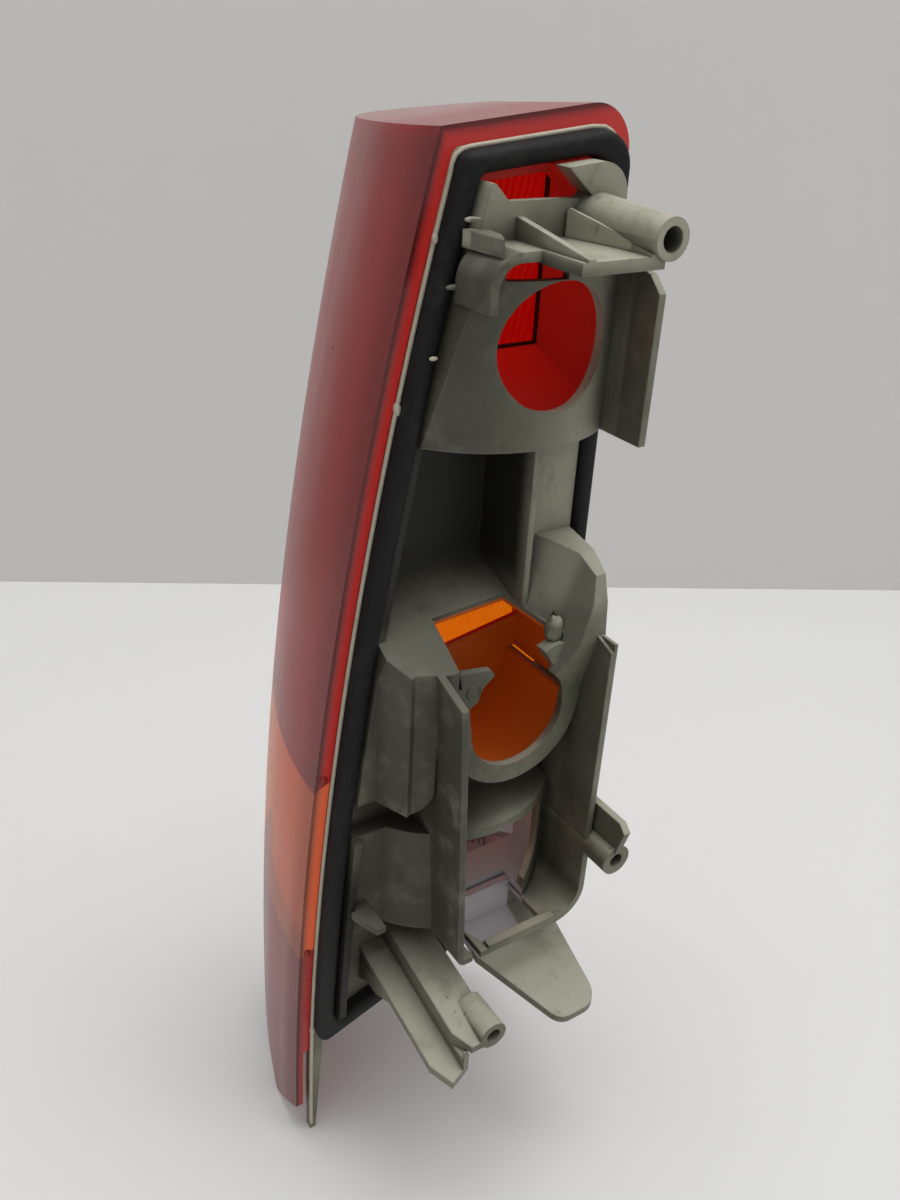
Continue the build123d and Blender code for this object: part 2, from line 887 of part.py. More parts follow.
    # inboard arm: a screw boss under an upright web
    with BuildSketch(upright(far_arm_end)):
        with Locations((far_arm_x, far_arm_z)):
            Circle(far_arm_radius)
    extrude(amount=far_arm_end - far_arm_front)
    with BuildSketch(fore_aft(far_arm_x - far_arm_web_thickness / 2)):
        add(
            polygon(
                (far_arm_front, far_arm_z + far_arm_radius / 2),
                (far_arm_end, far_arm_z + far_arm_radius / 2),
                (far_arm_web_reach, far_arm_z + far_arm_web - far_arm_radius / 2),
                (far_arm_web_reach - far_arm_radius / 2, far_arm_z + far_arm_web),
                (far_arm_front, far_arm_z + far_arm_web),
            )
        )
    extrude(amount=far_arm_web_thickness)
    with BuildSketch(upright(far_arm_end)):
        with Locations((far_arm_x, far_arm_z)):
            Circle(far_arm_bore)
    extrude(amount=far_arm_bore_depth, mode=Mode.SUBTRACT)

nodes = {
    "housing": housing,
    "seal": seal,
    "lens_upper_red": lens_upper_red,
    "lens_amber": lens_amber,
    "lens_lower_red": lens_lower_red,
    "lens_clear": lens_clear,
}

os.makedirs("parts", exist_ok=True)
for name, node in nodes.items():
    node.part.label = name
    export_step(node.part, f"parts/{name}.step")
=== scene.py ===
from math import cos, pi, sin

import bmesh
import bpy
from mathutils import Matrix, Vector


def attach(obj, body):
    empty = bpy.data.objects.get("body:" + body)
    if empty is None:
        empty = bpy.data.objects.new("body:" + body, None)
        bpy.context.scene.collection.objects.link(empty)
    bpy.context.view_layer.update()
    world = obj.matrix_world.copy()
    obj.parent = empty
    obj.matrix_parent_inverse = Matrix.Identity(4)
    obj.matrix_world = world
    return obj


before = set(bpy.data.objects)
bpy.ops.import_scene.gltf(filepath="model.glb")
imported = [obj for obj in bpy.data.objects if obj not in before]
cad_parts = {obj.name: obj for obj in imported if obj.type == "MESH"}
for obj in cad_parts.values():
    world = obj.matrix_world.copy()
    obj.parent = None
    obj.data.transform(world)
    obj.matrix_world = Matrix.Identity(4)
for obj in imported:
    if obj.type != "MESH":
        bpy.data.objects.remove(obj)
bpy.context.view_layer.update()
print("frame loaded:", ", ".join(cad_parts))

lampCorner = Vector((0.035, -0.038, -0.305))  # zero of the lamp's own millimetres, at the level of its foot
flange = {  # edges of the housing's flange, in lamp millimetres
    "reach": 43,
    "height": 325,
    "top": 321,
    "topFall": 0.11,
    "foot": 60,
    "footFall": 0.35,
    "inboard": -50,
    "lensLip": 4.8,  # the lens stands this far outside it
}
flutePitch = 2.0  # millimetres between the lens's upright flutes


def place(x, y, z):  # lamp millimetres to scene metres
    return Vector((x, y, z)) / 1000 + lampCorner


def rimAt(z):  # outboard edge of the flange at a height, for a number or a node's value
    return flange["reach"] * (1 - (z / flange["height"]) ** 2)


def topAt(x):
    return flange["top"] - flange["topFall"] * x


def footAt(x):
    return flange["foot"] - flange["footFall"] * x


def shaded(colour, share):
    return tuple(share * c for c in colour)


class Wire:  # one node output that can be used in sums
    def __init__(self, tree, socket):
        self.tree = tree
        self.socket = socket

    def sum(self, operation, first, second=None):
        node = self.tree.nodes.new("ShaderNodeMath")
        node.operation = operation
        plug(self.tree, first, node.inputs[0])
        if second is not None:
            plug(self.tree, second, node.inputs[1])
        return Wire(self.tree, node.outputs[0])

    def __add__(self, other):
        return self.sum("ADD", self, other)

    def __radd__(self, other):
        return self.sum("ADD", other, self)

    def __sub__(self, other):
        return self.sum("SUBTRACT", self, other)

    def __rsub__(self, other):
        return self.sum("SUBTRACT", other, self)

    def __mul__(self, other):
        return self.sum("MULTIPLY", self, other)

    def __rmul__(self, other):
        return self.sum("MULTIPLY", other, self)

    def __truediv__(self, other):
        return self.sum("DIVIDE", self, other)

    def __pow__(self, other):
        return self.sum("POWER", self, other)

    def sine(self):
        return self.sum("SINE", self)

    def least(self, other):
        return self.sum("MINIMUM", self, other)

    def most(self, other):
        return self.sum("MAXIMUM", self, other)


def plug(tree, value, socket):
    if isinstance(value, Wire):
        tree.links.new(value.socket, socket)
    elif socket.type == "RGBA" and len(value) == 3:
        socket.default_value = (*value, 1.0)
    else:
        socket.default_value = value


class Finish:  # one procedural material or sky; x, y and z are lamp millimetres
    def __init__(self, owner, coordinates="Object"):
        self.owner = owner
        self.owner.use_nodes = True
        self.tree = self.owner.node_tree
        self.tree.nodes.clear()
        self.spot = self.node("ShaderNodeTexCoord", output=coordinates)
        parts = zip(self.parts(self.spot), lampCorner)
        self.x, self.y, self.z = (part * 1000 - corner * 1000 for part, corner in parts)

    def node(self, kind, settings={}, sockets={}, output=0):
        node = self.tree.nodes.new(kind)
        for name, value in settings.items():
            setattr(node, name, value)
        ready = [s for s in node.inputs if s.enabled]
        for name, value in sockets.items():
            socket = ready[name] if isinstance(name, int) else next(s for s in ready if s.name == name)
            plug(self.tree, value, socket)
        outputs = [s for s in node.outputs if s.enabled] or [None]
        return Wire(self.tree, outputs[output] if isinstance(output, int) else node.outputs[output])

    def parts(self, vector):  # its x, y and z
        return [self.node("ShaderNodeSeparateXYZ", {}, {"Vector": vector}, axis) for axis in "XYZ"]

    def mix(self, share, first, second):
        sockets = {"Factor": share, "A": first, "B": second}
        return self.node("ShaderNodeMix", {"data_type": "RGBA"}, sockets)

    def step(self, value, low, high):  # soft step from 0 at low to 1 at high
        return self.node(
            "ShaderNodeMapRange",
            {"interpolation_type": "SMOOTHSTEP"},
            {"Value": value, "From Min": low, "From Max": high},
        )

    def between(self, value, low, high, soft):  # 1 from low to high, with soft ends
        return self.step(value, low, low + soft) * (1 - self.step(value, high - soft, high))

    def noise(self, size, detail=4.0, rough=0.55, stretch=(1, 1, 1)):  # size in millimetres
        spread = self.node("ShaderNodeMapping", {}, {"Vector": self.spot, "Scale": stretch})
        sockets = {"Vector": spread, "Scale": 1000 / size, "Detail": detail, "Roughness": rough}
        return self.node("ShaderNodeTexNoise", {}, sockets)

    def specks(self, size, reach):  # scattered round specks, 1 inside
        near = self.node("ShaderNodeTexVoronoi", {}, {"Vector": self.spot, "Scale": 1000 / size}, "Distance")
        return 1 - self.step(near, reach * 0.6, reach)

    def corners(self, reach):  # 0 in the open, 1 deep in a corner
        settings = {"samples": 3, "only_local": True}
        return 1 - self.node("ShaderNodeAmbientOcclusion", settings, {"Distance": reach / 1000}, "AO")

    def rounded(self, radius):
        return self.node("ShaderNodeBevel", {"samples": 2}, {"Radius": radius / 1000})

    def bump(self, height, strength, depth, normal=None):
        sockets = {"Height": height, "Strength": strength, "Distance": depth / 1000}
        if normal:
            sockets["Normal"] = normal
        return self.node("ShaderNodeBump", {}, sockets)

    def shader(self, sockets):
        return self.node("ShaderNodeBsdfPrincipled", {}, sockets)

    def show(self, shader):
        self.node("ShaderNodeOutputMaterial", {}, {"Surface": shader})
        return self.owner


# Finishes
plasticLook = {
    "stained": (0.13, 0.127, 0.088),
    "body": (0.21, 0.207, 0.152),
    "lightAndDust": (0.4, 0.392, 0.305),
    "dust": (0.2, 0.19, 0.138),
    "grimeAndShade": (0.022, 0.02, 0.013),
    "deepShade": (0.009, 0.0085, 0.006),
    "edge": (0.55, 0.54, 0.47),
    "roughness": 0.5,
    # painted light: the red and amber insides and the glows stand in for light the lens lets into the
    # chambers
    "redLitInside": (0.5, 0.02, 0.012),
    "amberLitInside": (0.5, 0.1, 0.006),
    "greyInside": (0.4, 0.37, 0.39),
    "lowInside": (0.3, 0.335, 0.335),  # a little cool, since red light falls on it
    "redGlow": (0.05, 0.0024, 0.0014),  # lamp light that the lens lets in
    "amberGlow": (0.03, 0.004, 0.0),
    "greyGlow": (0.028, 0.026, 0.028),
}


def circleThrough(a, b, c):  # centre and radius of the circle through three points
    (ax, ay), (bx, by), (cx, cy) = a, b, c
    d = 2 * (ax * (by - cy) + bx * (cy - ay) + cx * (ay - by))
    ux = ((ax**2 + ay**2) * (by - cy) + (bx**2 + by**2) * (cy - ay) + (cx**2 + cy**2) * (ay - by)) / d
    uy = ((ax**2 + ay**2) * (cx - bx) + (bx**2 + by**2) * (ax - cx) + (cx**2 + cy**2) * (bx - ax)) / d
    return ux, uy, ((ax - ux) ** 2 + (ay - uy) ** 2) ** 0.5


chambers = {  # where the inside faces of the bulb chambers lie
    "sides": (-41.9, 14.0),
    "topArc": ((10.75, 6), (-11, 19.5), (-43, 13)),
    "topRise": (252.0, 299.5),
    "atticRise": (299.5, 319),
    "trough": (-17.3, 168.0, 22.5),
    "lowArc": ((18.2, 6), (-12.6, 21.8), (-43, 6.6)),
    "lowRise": (93.2, 129.8),
    "soft": 0.2,
}


def chamberMasks(f):  # 1 on the inside faces of each bulb chamber, a little in from their outer skin
    soft = chambers["soft"]

    def within(value, ends):
        return f.between(value, *ends, soft)

    def insideArc(u, v, arc, spare):
        cu, cv, radius = arc
        reach = ((u - cu) * (u - cu) + (v - cv) * (v - cv)) ** 0.5
        return 1 - f.step(reach, radius - spare - soft, radius - spare)

    sides = within(f.x, chambers["sides"]) * (1 - f.step(f.x - rimAt(f.z), -8.1, -7.9))
    top = sides * insideArc(f.x, f.y, circleThrough(*chambers["topArc"]), 2.6)
    top = top * within(f.z, chambers["topRise"])
    attic = sides * within(f.z, chambers["atticRise"]) * (1 - f.step(f.y, 6.0, 6.2))
    trough = insideArc(f.x, f.z, chambers["trough"], 1.3)
    roof = 198.3 - 0.075 * f.x - 0.37 * f.y
    upper = within(f.x, (-41.9, 6.0)) * within(f.z, (168.0, 215.5)) * (1 - f.step(f.z - roof, -1.5, -1.3))
    slant = (f.x + 22.3) * 0.787 + (f.y - 2) * 0.523 + (f.z - 200.5) * 0.326
    lobe = within(f.x, (-41.9, -26.6)) * within(f.z, (172.0, 206.0)) * (1 - f.step(slant, -1.5, -1.3))
    middle = trough.most(upper.most(lobe)) * (1 - f.step(f.y, 17.3, 17.5))
    low = sides * insideArc(f.x, f.y, circleThrough(*chambers["lowArc"]), 2.6)
    low = low * within(f.z, chambers["lowRise"])
    return top.most(attic), middle, low


def agedAndShadedPlastic(f, cloud, facing):  # the plastic's own colour, with stains, dust and smears, and painted light and shade: tops and the inboard side above the middle chamber painted lighter, the outboard side and fin faces painted darker
    look = plasticLook
    outboard, _, skyward = f.parts(facing)
    # painted light and dust: faces turned up are painted lighter, as the light falls from above, and dust
    # settles on them too
    upward = f.step(skyward + cloud * 0.3, 0.3, 0.85)
    colour = f.mix(f.step(cloud, 0.4, 0.66), look["stained"], look["body"])
    colour = f.mix(upward, colour, look["lightAndDust"])
    outboardShade = f.step(f.x + cloud * 16, -16, 14) * f.step(f.z, 84, 96)  # painted shade: the outboard side, turned away from the light, is painted darker
    outboardShade = outboardShade * (1 - upward * f.step(f.z, 190, 200) * (1 - f.step(f.z, 216, 220)) * 0.5)
    colour = f.mix(outboardShade * 0.7, colour, look["grimeAndShade"])
    # painted light: the inboard side above the middle chamber and everything above 300 mm are painted lighter
    litPlaces = (1 - f.step(f.x + cloud * 20, -26, -2)) * (1 - upward) * f.step(f.z, 196, 204) * 0.55
    litPlaces = litPlaces * (1 - f.step(f.y, 20.0, 21.5) * f.step(f.z, 240, 250))
    litPlaces = litPlaces.most(f.step(f.z + cloud * 4, 300, 304) * 0.8)
    colour = f.mix(litPlaces, colour, look["lightAndDust"])
    # painted shade on the fins' outboard faces
    finFace = f.step(outboard, 0.5, 0.8) * f.step(f.y, 15, 19)
    finFace = finFace * f.step(f.z, 84, 100) * (1 - f.step(f.z, 300, 302))
    colour = f.mix(finFace * 0.5, colour, look["grimeAndShade"])
    colour = f.mix(f.step(f.noise(14, 6.0, 0.65), 0.48, 0.72) * 0.55, colour, look["dust"])
    smears = f.step(f.noise(7, 5.0, 0.7, (1, 1, 0.35)), 0.56, 0.74) * 0.4
    return f.mix(smears, colour, look["grimeAndShade"])


def mouldedPlastic():
    look = plasticLook
    f = Finish(bpy.data.materials.new("moulded_plastic"))
    cloud = f.noise(38, 5.0, 0.6)
    facing = f.node("ShaderNodeNewGeometry", output="Normal")
    colour = agedAndShadedPlastic(f, cloud, facing)
    # painted shade: darker in corners and creases, from ambient occlusion
    shade = f.corners(22)
    corner = f.step(shade * (0.6 + cloud), 0.22, 0.85)
    colour = f.mix(corner * 0.85, colour, look["grimeAndShade"])
    colour = f.mix(f.specks(9, 0.06) * 0.5, colour, look["grimeAndShade"])
    # painted shade: the pocket above the middle chamber and the strip just inside the seal are painted near
    # black
    recess = (1 - f.step(f.y + cloud * 4, 5.0, 12.0)) * f.step(f.x, -25.5, -24.5) * f.step(f.z, 194, 210)
    recess = recess * (1 - f.step(f.z, 250.5, 251.0)) * (1 - f.step(f.x, 11.0, 26.0))
    kerb = f.step(f.x - rimAt(f.z), -9.3, -9.1) * (1 - f.step(f.y, 8.2, 8.4)) * f.step(f.y, 0.9, 1.2)
    beside = f.step(f.z, 112, 124) * (1 - f.step(f.z, 196, 202))  # the middle chamber
    kerb = kerb * f.step(f.z, 56, 58) * (1 - beside) * (1 - f.step(f.z, 250.4, 250.9))
    colour = f.mix(recess.most(kerb) * 0.97, colour, look["deepShade"])
    plate = f.between(f.x, -4.6, 2.6, 0.4) * f.step(f.z, 299.5, 301.0) * f.step(f.y, 9.8, 10.4)
    colour = f.mix(plate * 0.55, colour, look["grimeAndShade"])
    keyFloor = f.between(f.x, -28, -1, 1) * f.between(f.y, 4, 20, 1)
    keyFloor = keyFloor * f.step(f.z, 70, 72) * (1 - f.step(f.z, 94.6, 94.8))
    top, middle, low = chamberMasks(f)
    # painted light: the chamber insides are painted red and amber, and all three are given a glow, for light
    # that the lens lets in
    colour = f.mix(top, colour, look["redLitInside"])
    colour = f.mix(middle, colour, look["amberLitInside"])
    colour = f.mix(keyFloor, colour, look["greyInside"])
    colour = f.mix(low, colour, look["lowInside"])
    glow = f.mix(middle, f.mix(top, (0, 0, 0), look["redGlow"]), look["amberGlow"])
    glow = f.mix(low, glow, look["greyGlow"])
    rough = look["roughness"] + cloud * 0.15
    softened = f.rounded(0.9)
    dot = {"operation": "DOT_PRODUCT"}
    bend = 1 - f.node("ShaderNodeVectorMath", dot, {0: softened, 1: facing}, "Value")
    hidden = top.most(middle).most(recess).most(kerb)
    worn = f.step(bend, 0.02, 0.16) * (1 - hidden) * (1 - f.step(shade, 0.08, 0.3))
    colour = f.mix(worn * 0.22, colour, look["edge"])
    normal = f.bump(f.noise(1.2, 3.0, 0.6), 0.12, 0.25, softened)
    sockets = {"Base Color": colour, "Roughness": rough, "IOR": 1.45, "Normal": normal}
    return f.show(f.shader({**sockets, "Emission Color": glow, "Emission Strength": 1.0}))


rubberLook = {"body": (0.004, 0.0045, 0.006), "dust": (0.035, 0.035, 0.032), "roughness": 0.68}


def sealRubber():
    look = rubberLook
    f = Finish(bpy.data.materials.new("seal_rubber"))
    cloud = f.noise(22, 5.0, 0.6)
    dustAndSheen = f.step(cloud + f.noise(2.0, 3.0) * 0.5, 0.75, 1.0) * 0.5
    low = 1 - f.step(f.z, 70, 125)
    colour = f.mix((dustAndSheen + low * 0.35).least(1.0), look["body"], look["dust"])
    normal = f.bump(f.noise(0.9, 2.0), 0.25, 0.3)
    rough = look["roughness"] + dustAndSheen * 0.3
    sockets = {"Base Color": colour, "Roughness": rough, "Normal": normal}
    return f.show(f.shader({**sockets, "Specular IOR Level": 0.3}))


def lensLook(body, through, inner, edge):
    return {"body": body, "through": through, "inner": inner, "edge": edge}


lensLooks = {
    "red": lensLook((0.25, 0.016, 0.018), (0.85, 0.05, 0.028), 0.12, (0.2, 0.007, 0.003)),
    "amber": lensLook((0.5, 0.1, 0.03), (1.0, 0.45, 0.04), 0.12, (0.26, 0.036, 0.014)),
    "clear": lensLook((0.36, 0.335, 0.345), (0.8, 0.78, 0.8), 0.55, (0.0, 0.0, 0.0)),
    "low": lensLook((0.3, 0.024, 0.024), (0.5, 0.05, 0.04), 0.12, (0.1, 0.004, 0.003)),
}
lensSkin = {
    "outer": 0.76,
    "clearer": 0.24,
    "haze": (0.42, 0.385, 0.38),
    "frosted": (0.36, 0.335, 0.345),
    "middle": (-5.0, -15.0, 170.0),
}


def glassy(f, gloss, through, share):  # gloss over what shows through
    clear = f.node("ShaderNodeBsdfTransparent", {}, {"Color": through})
    return f.node("ShaderNodeMixShader", {}, {0: share, 1: clear, 2: gloss})


def lensPlastic(name):
    look = lensLooks[name]
    f = Finish(bpy.data.materials.new("lens_" + name))
    haze = f.noise(30, 4.0, 0.6)
    scuffs = f.step(f.noise(1.4, 3.0, 0.7, (1, 1, 0.12)), 0.62, 0.8)
    streaks = f.step(f.noise(9, 4.0, 0.6, (1, 1, 0.06)), 0.35, 0.7)
    rough = 0.22 + haze * 0.14 + scuffs * 0.12
    facing = f.node("ShaderNodeNewGeometry", output="Normal")
    nx, ny, nz = f.parts(facing)
    cx, cy, cz = lensSkin["middle"]
    outward = nx * (f.x - cx) / 40 + ny * (f.y - cy) / 40 + nz * (f.z - cz) / 150
    outer = f.step(outward, -0.1, 0.1)
    rear = f.step(ny, 0.6, 0.8) * f.step(f.y, -3.0, -2.0)
    frost = (1 - outer) * (1 - f.step(f.x, 10, 12)) * (1.0 if name == "low" else 0.0)
    front = f.step(0 - ny, 0.35, 0.8) * outer  # the face that shows on the car
    share = (look["inner"] + outer * (lensSkin["outer"] - look["inner"])).most(rear * 0.9).most(frost)
    share = share - front * lensSkin["clearer"]
    # painted reflection and dust: a milky sheen of the bright surroundings painted on the lens's sides, with
    # dust; stronger towards the nose, low down and on faces turned up, weak on the front
    dustAndSheen = f.step(0 - f.y, 16, 60) * 0.62 + (1 - f.step(f.z, 30, 170)) * 0.44
    dustAndSheen = dustAndSheen + f.step(nz, 0.3, 0.9) * 0.4
    streaks = streaks + (0.5 - streaks) * f.step(nz, 0.3, 0.6)
    dustAndSheen = dustAndSheen * (0.35 + haze * 0.6 + streaks * 0.55)
    dustAndSheen = dustAndSheen.least(0.75) * (1 - rear) * (1 - front * 0.85)
    colour = f.mix(dustAndSheen, look["body"], lensSkin["haze"])
    band = (1 - f.step(0 - f.y, 2, 15)) * (1 - f.step(nz, 0.3, 0.6))  # deeper colour by the weld
    colour = f.mix(band * outer * (1 - rear) * 0.6, colour, shaded(look["body"], 0.3))
    ribs = f.step((f.x * 2 * pi / flutePitch).sine(), -0.2, 0.9)
    colour = f.mix(front * ribs * 0.6, colour, shaded(look["body"], 0.4))
    lip = flange["lensLip"]
    fromEdge = (rimAt(f.z) + lip - f.x).least(topAt(f.x) + lip - f.z)  # in from the lens's rear edge
    # painted shade: a darker band along the lens's rear edge, where the thick wall lies in shadow
    colour = f.mix(rear * (1 - f.step(fromEdge, 0.6, 1.6)) * 0.8, colour, shaded(look["body"], 0.15))
    colour = f.mix(frost, colour, lensSkin["frosted"])
    # painted glow just in from the rear edge, where light shines through the lens's thickness, and on the
    # frosted inner face
    glow = f.mix(rear * f.step(fromEdge, 0.8, 3.4), (0, 0, 0), look["edge"])
    glow = f.mix(frost, glow, plasticLook["greyGlow"])
    sockets = {"Base Color": colour, "Roughness": rough, "IOR": 1.55, "Emission Color": glow}
    gloss = f.shader({**sockets, "Emission Strength": 1.0})
    return f.show(glassy(f, gloss, look["through"], share))


finishes = {
    "housing": mouldedPlastic(),
    "seal": sealRubber(),
    "lens_upper_red": lensPlastic("red"),
    "lens_amber": lensPlastic("amber"),
    "lens_lower_red": lensPlastic("low"),
    "lens_clear": lensPlastic("clear"),
}
for name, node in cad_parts.items():
    node.data.materials.clear()
    node.data.materials.append(finishes[name])
print("finishes set on the solids")

# Flutes moulded inside the lens
flutes = {
    "radius": 0.52,
    "sides": 6,
    "most": 110,
    "lowest": 12,
    "rise": 11.0,
    "levels": 29,
    "inset": 2.9,
}


def fluteLook(body, through, share, glow):
    return {"body": body, "through": through, "share": share, "glow": glow}


fluteLooks = {
    "red": fluteLook((0.5, 0.02, 0.012), (0.95, 0.08, 0.04), 0.5, (0.22, 0.005, 0.002)),
    "amber": fluteLook((0.85, 0.36, 0.03), (1.0, 0.62, 0.08), 0.5, (0.34, 0.15, 0.01)),
    "clear": fluteLook((0.4, 0.37, 0.385), (0.8, 0.78, 0.8), 0.6, (0.0, 0.0, 0.0)),
}


def lensSection(z, inset):  # lens section at one height, from the rim round the nose to the inboard corner
    near = rimAt(z) + flange["lensLip"] - inset
    far = -52.6 + inset
    depth, lead = 55, 30  # of the side, and how far it leads into the nose
    sag = 14 - 4.5 * z / flange["height"]
    bend = (sag**2 + depth**2) / (2 * sag)
    line = [Vector((near - bend + (bend**2 - y**2) ** 0.5, -y)) for y in range(4, depth + 1, 3)]
    start, end = line[-2], Vector((far, -27))  # the nose starts a step before the side ends
    leave = line[-1] + Vector((-depth / bend, -(bend - sag) / bend)) * lead + Vector((0, inset))
    turn = Vector((far + 16, -53 + inset))
    for step in range(1, 31):
        t = step / 31
        u = 1 - t
        line.append(u**3 * start + 3 * t * u**2 * leave + 3 * t**2 * u * turn + t**3 * end)
    return line


def spotAlong(points, reach):  # point at a distance along a run of points, none past its end
    for start, end in zip(points, points[1:]):
        span = (end - start).length
        if reach <= span:
            return start.lerp(end, reach / span)
        reach -= span
    return None


def flutePaths(low, high, xLeast=-60.0, xMost=60.0):  # upright lines inside the lens, between sloping heights
    lines = []
    heights = [flutes["lowest"] + flutes["rise"] * level for level in range(flutes["levels"])]
    sections = {z: lensSection(z, flutes["inset"]) for z in heights}
    for number in range(flutes["most"]):
        line = []
        for z in heights:
            spot = spotAlong(sections[z], number * flutePitch)
            if spot and xLeast < spot.x < xMost and low(spot) < z < high(spot):
                line.append(place(spot.x, spot.y, z))
        if len(line) > 1:
            lines.append(line)
    return lines


def tubeTree():  # tubes along the edges of a mesh
    tree = bpy.data.node_groups.new("tubes_along_paths", "GeometryNodeTree")
    tree.interface.new_socket("Paths", in_out="INPUT", socket_type="NodeSocketGeometry")
    for name, kind in (("Radius", "Float"), ("Sides", "Int"), ("Finish", "Material")):
        tree.interface.new_socket(name, in_out="INPUT", socket_type="NodeSocket" + kind)
    tree.interface.new_socket("Tubes", in_out="OUTPUT", socket_type="NodeSocketGeometry")
    start, end = tree.nodes.new("NodeGroupInput"), tree.nodes.new("NodeGroupOutput")
    names = ("MeshToCurve", "CurvePrimitiveCircle", "CurveToMesh", "RealizeInstances", "SetMaterial")
    line, ring, tube, real, paint = (tree.nodes.new("GeometryNode" + name) for name in names)
    tube.inputs["Fill Caps"].default_value = True
    for source, sink in (
        (start.outputs["Paths"], line.inputs["Mesh"]),
        (start.outputs["Sides"], ring.inputs["Resolution"]),
        (start.outputs["Radius"], ring.inputs["Radius"]),
        (line.outputs[0], tube.inputs["Curve"]),
        (ring.outputs[0], tube.inputs["Profile Curve"]),
        (tube.outputs[0], real.inputs[0]),
        (real.outputs[0], paint.inputs["Geometry"]),
        (start.outputs["Finish"], paint.inputs["Material"]),
        (paint.outputs[0], end.inputs[0]),
    ):
        tree.links.new(source, sink)
    return tree


tubes = tubeTree()


def addPiece(name, mesh):
    piece = bpy.data.objects.new(name, mesh)
    bpy.context.scene.collection.objects.link(piece)
    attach(piece, "root")
    return piece


def tubePiece(name, lines, radius, sides, finish):
    mesh = bpy.data.meshes.new(name + "_paths")
    spots, edges = [], []
    for line in lines:
        edges += [(len(spots) + i, len(spots) + i + 1) for i in range(len(line) - 1)]
        spots += line
    mesh.from_pydata(spots, edges, [])
    paths = bpy.data.objects.new(name + "_paths", mesh)
    bpy.context.scene.collection.objects.link(paths)
    modifier = paths.modifiers.new("tubes", "NODES")
    modifier.node_group = tubes
    values = {"Radius": radius / 1000, "Sides": sides, "Finish": finish}
    for socket in tubes.interface.items_tree:
        if socket.name in values:
            modifier[socket.identifier] = values[socket.name]
    ready = paths.evaluated_get(bpy.context.evaluated_depsgraph_get())
    made = bpy.data.meshes.new_from_object(ready)
    made.name = name
    paths.modifiers.clear()
    bpy.data.objects.remove(paths)
    return addPiece(name, made)


def flutePlastic(name):
    look = fluteLooks[name]
    f = Finish(bpy.data.materials.new("flute_" + name))
    tone = f.mix(f.noise(18, 3.0) * 0.5, look["body"], shaded(look["body"], 0.6))
    # the flutes' glow is painted light, for the light the lens lets in
    sockets = {"Base Color": tone, "Roughness": 0.25, "IOR": 1.49, "Emission Color": look["glow"]}
    gloss = f.shader({**sockets, "Emission Strength": 1.0})
    return f.show(glassy(f, gloss, look["through"], look["share"]))


def redJoint(spot):
    return 166.9 - 0.5 * spot.x


def amberJoint(spot):
    return 106.0 - 0.5 * spot.x


def lensFoot(spot):
    return footAt(spot.x) + 6 + 0.6 * spot.y


redFlute, amberFlute = flutePlastic("red"), flutePlastic("amber")
fluteRuns = (
    ("flutes_upper", flutePaths(redJoint, lambda spot: topAt(spot.x) - 5), redFlute, "lens_red"),
    ("flutes_amber", flutePaths(amberJoint, redJoint), amberFlute, "lens_amber"),
    ("flutes_lower", flutePaths(lensFoot, amberJoint, 14), redFlute, "lens_red"),
    ("flutes_clear", flutePaths(lensFoot, amberJoint, -60, 11), flutePlastic("clear"), "lens_clear"),
)
for name, lines, finish, slot in fluteRuns:
    tubePiece(name, lines, flutes["radius"], flutes["sides"], finish)
print("flutes laid inside the lens")

# Weld flash round the flange, and beads and nubs left on it
weld = {
    "radius": 0.62,
    "inset": 0.4,
    "back": 0.9,
    "corner": 9.0,
    "topCorner": ((1.8, 317.4), (1.0, 319.2), (-0.9, 320.4)),
    "flash": (0.5, 0.455, 0.36),
    "nubs": ((0.5, 260.5, 1.1), (0.5, 50.5, 1.0), (0.4, 301.0, 0.8)),
    "beads": ((2.2, 151.3, 1.3), (2.2, 85.2, 1.2)),
    "beadColour": (0.26, 0.012, 0.01),
    "wallNub": (((8.7, 7.4, 274.3), 0.65),),
    "wallStubs": (((4.2, 8.0, 291.1), 0.9), ((1.0, 9.6, 306.5), 0.9)),
}


def flashPath():  # from the foot of the tab up the outboard edge, over the top and round the inboard side
    inset, turn = weld["inset"], weld["corner"]
    far = flange["inboard"] + inset
    middle = far + turn  # of both inboard corners
    high, low = topAt(-41) - inset - turn, footAt(-41) + inset + turn
    angles = [step * pi / 12 for step in range(7)]
    line = [(rimAt(z) - inset, z) for z in range(3, flange["top"], 6)] + list(weld["topCorner"])
    line += [(x, topAt(x) - inset) for x in range(-3, -41, -4)]
    line += [(middle - turn * sin(a), high + turn * cos(a)) for a in angles[1:]]
    line += [(far, z) for z in range(305, 95, -10)]
    line += [(middle - turn * cos(a), low - turn * sin(a)) for a in angles[:-1]]
    line += [(x, footAt(x) + inset) for x in range(-36, 40, 6)]
    return [place(x, weld["back"], z) for x, z in line]


def flashPlastic():
    f = Finish(bpy.data.materials.new("weld_flash"))
    stain = f.step(f.noise(9, 5.0, 0.65), 0.5, 0.75) * 0.5
    colour = f.mix(stain, weld["flash"], plasticLook["dust"])
    normal = f.bump(f.noise(1.6, 3.0), 0.5, 0.5)
    return f.show(f.shader({"Base Color": colour, "Roughness": 0.6 + stain * 0.2, "Normal": normal}))


def lumps(name, spots, finish, squeeze=(1, 1, 1)):  # small rounded lumps, a little uneven
    form = bmesh.new()
    for at, radius in spots:
        made = bmesh.ops.create_icosphere(form, subdivisions=3, radius=radius / 1000)["verts"]
        for vert in made:
            swell = 1 + 0.09 * sin(vert.co.x * 3100) + 0.07 * cos(vert.co.z * 2700 + vert.co.y * 1900)
            vert.co = Vector([c * k * swell for c, k in zip(vert.co, squeeze)]) + at
    mesh = bpy.data.meshes.new(name)
    form.to_mesh(mesh)
    form.free()
    mesh.shade_smooth()
    mesh.materials.append(finish)
    return addPiece(name, mesh)


